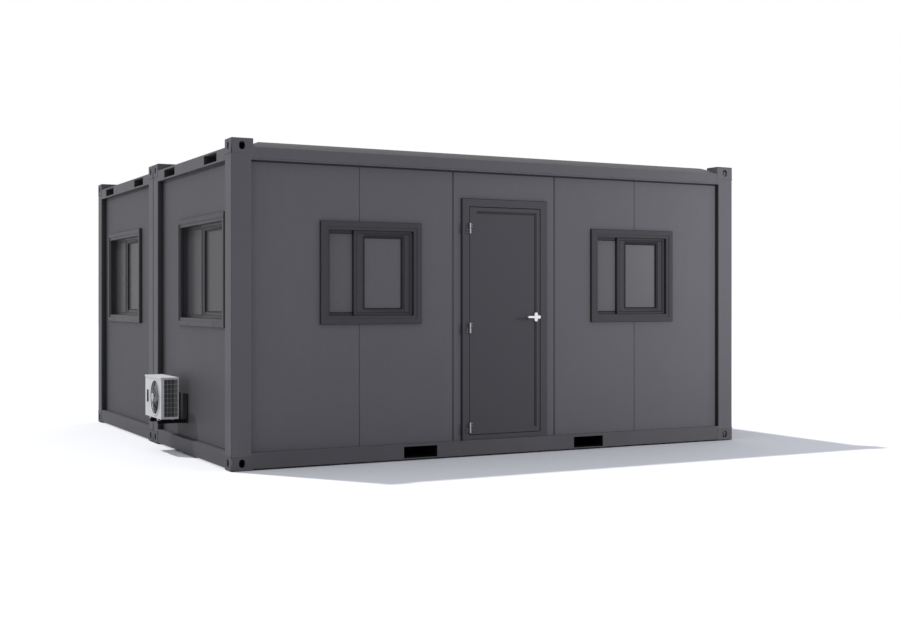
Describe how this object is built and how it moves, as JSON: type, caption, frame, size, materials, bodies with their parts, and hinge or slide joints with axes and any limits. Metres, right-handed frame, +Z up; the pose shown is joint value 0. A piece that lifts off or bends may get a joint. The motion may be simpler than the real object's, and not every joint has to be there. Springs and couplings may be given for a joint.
{
  "type": "modular site cabin",
  "caption": "Grey steel-framed site cabin of joined modules with flat panel walls, sliding windows, a hinged door with a lever handle and a small wall condenser with a turning fan.",
  "frame": {"origin": "middle of the footprint on the ground, between the outer bottom castings", "axes": "+X along the front to the right, +Y into the cabin, +Z up"},
  "size_m": [5.107, 4.901, 2.591],
  "materials": {
    "frame_paint": "satin",
    "panel_paint": "satin",
    "trim_paint": "satin",
    "door_paint": "satin",
    "window_glass": "polished",
    "floor_vinyl": "matte",
    "lining": "matte",
    "seal_rubber": "matte",
    "bare_metal": "satin",
    "handle_white": "gloss",
    "condenser_paint": "satin",
    "coil_fins": "satin",
    "motor_paint": "satin",
    "fan_plastic": "matte"
  },
  "bodies": {
    "cabin": {"bottom_castings": "frame_paint", "top_castings": "frame_paint", "corner_posts": "frame_paint", "front_bottom_rail": "frame_paint", "rear_bottom_rail": "frame_paint", "middle_bottom_rails": "frame_paint", "end_bottom_rails": "frame_paint", "front_top_rail": "frame_paint", "rear_top_rail": "frame_paint", "middle_top_rails": "frame_paint", "end_top_rails": "frame_paint", "fork_pockets": "frame_paint", "floor_joists": "frame_paint", "roof_pans": "frame_paint", "roof_joint_cover": "frame_paint", "front_wall_panels": "panel_paint", "door_side_panels": "panel_paint", "door_header_panel": "panel_paint", "rear_wall_panels": "panel_paint", "left_wall_panels": "panel_paint", "right_wall_panels": "panel_paint", "front_window_frames": "trim_paint", "front_window_sashes": "trim_paint", "rear_window_frames": "trim_paint", "rear_window_sashes": "trim_paint", "end_window_frames": "trim_paint", "end_window_sashes": "trim_paint", "window_glass": "window_glass", "floor_decks": "floor_vinyl", "floor_joint_strip": "bare_metal", "ceiling_panels": "lining", "joint_seals": "seal_rubber", "door_frame_hinges": "bare_metal", "door_frame": "door_paint", "condenser_casing": "condenser_paint", "condenser_fan_guard": "condenser_paint", "condenser_side_guard": "condenser_paint", "condenser_coil": "coil_fins", "condenser_motor": "motor_paint", "condenser_brackets": "motor_paint"},
    "door": {"door_leaf": "door_paint", "door_leaf_hinges": "bare_metal", "door_handle_plates": "handle_white"},
    "lever": {"door_lever": "handle_white"},
    "fan": {"condenser_fan": "fan_plastic"}
  },
  "joints": [
    {"name": "door_hinge", "type": "hinge", "parent": "cabin", "child": "door", "pos_m": [-0.3555, -2.422, 1.1], "axis": [0, 0, -1], "range_deg": [0, 105]},
    {"name": "lever_turn", "type": "hinge", "parent": "door", "child": "lever", "pos_m": [0.297, -2.4, 1.182], "axis": [0, -1, 0], "range_deg": [0, 40], "stiffness_Nm_per_rad": 1.5, "springref_deg": -22.92},
    {"name": "fan_spin", "type": "hinge", "parent": "cabin", "child": "fan", "pos_m": [-2.6, -0.876, 0.486], "axis": [1, 0, 0], "continuous": true}
  ]
}
